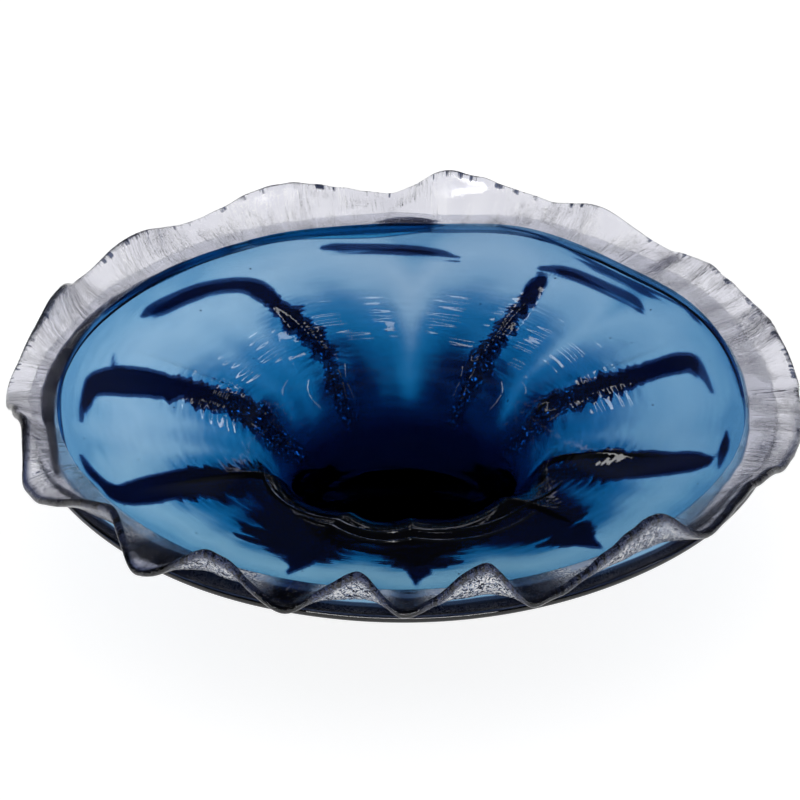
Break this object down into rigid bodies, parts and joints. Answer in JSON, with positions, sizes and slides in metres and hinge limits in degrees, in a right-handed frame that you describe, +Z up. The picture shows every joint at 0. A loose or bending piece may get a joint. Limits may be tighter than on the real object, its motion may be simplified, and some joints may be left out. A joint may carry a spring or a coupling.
{
  "type": "art glass bowl",
  "caption": "Wide shallow bowl of blue cased glass: ribbed brim, deep round well, smooth clear lip band, clear crimped frill round the edge and a ground clear pad foot.",
  "frame": {"origin": "centre of the foot's flat ground underside, on the bowl's axis", "axes": "+Z up along the bowl's axis, through the open mouth; -Y towards the viewer's side; X and Y across the brim"},
  "size_m": [0.409, 0.4063, 0.1025],
  "materials": {
    "blue_glass": "deep sapphire blue, fire polished",
    "clear_casing_glass": "clear, fire polished",
    "clear_band_glass": "clear, smooth, fire polished",
    "clear_frill_glass": "clear with a faint lavender cast, tool-marked",
    "clear_foot_glass": "clear, ground and polished underneath"
  },
  "bodies": {
    "root": {"blue_bowl": "blue_glass", "clear_casing": "clear_casing_glass", "lip_band": "clear_band_glass", "crimped_frill": "clear_frill_glass", "foot_pad": "clear_foot_glass"}
  },
  "joints": []
}
